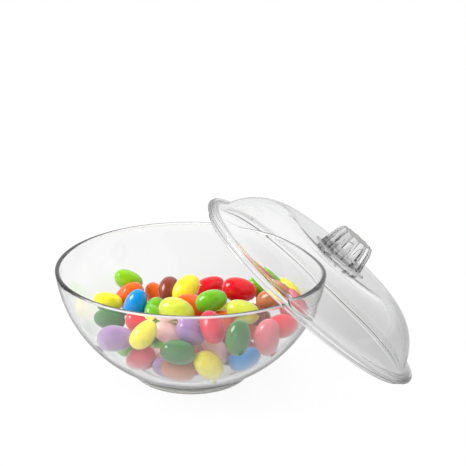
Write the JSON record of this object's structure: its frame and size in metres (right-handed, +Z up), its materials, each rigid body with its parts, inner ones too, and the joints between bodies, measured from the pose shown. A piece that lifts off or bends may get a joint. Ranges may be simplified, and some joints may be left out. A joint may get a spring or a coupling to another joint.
{
  "type": "candy jar",
  "caption": "Clear glass candy bowl on a low round foot with a domed glass lid and fluted knob leaning on its rim, filled with glossy jelly beans.",
  "frame": {"origin": "middle of the bowl's foot, on the table", "axes": "+Z up along the bowl's axis, +X towards the side where the lid leans, right-handed"},
  "size_m": [0.2, 0.15, 0.0999],
  "materials": {
    "clear_glass": "polished",
    "bean_blue": "gloss",
    "bean_blush": "gloss",
    "bean_brown": "gloss",
    "bean_caramel": "gloss",
    "bean_forest": "gloss",
    "bean_green": "gloss",
    "bean_lilac": "gloss",
    "bean_lime": "gloss",
    "bean_orange": "gloss",
    "bean_pear": "gloss",
    "bean_pink": "gloss",
    "bean_red": "gloss",
    "bean_rose": "gloss",
    "bean_yellow": "gloss"
  },
  "bodies": {
    "bowl": {"bowl": "clear_glass", "beans_blue": "bean_blue", "beans_blush": "bean_blush", "beans_brown": "bean_brown", "beans_caramel": "bean_caramel", "beans_forest": "bean_forest", "beans_green": "bean_green", "beans_lilac": "bean_lilac", "beans_lime": "bean_lime", "beans_orange": "bean_orange", "beans_pear": "bean_pear", "beans_pink": "bean_pink", "beans_red": "bean_red", "beans_rose": "bean_rose", "beans_yellow": "bean_yellow"},
    "lid": {"lid": "clear_glass", "knob": "clear_glass"}
  },
  "joints": [
    {"name": "lid_lift", "type": "slide", "parent": "bowl", "child": "lid", "axis": [0, 0, 1], "range_m": [0, 0.12]}
  ]
}
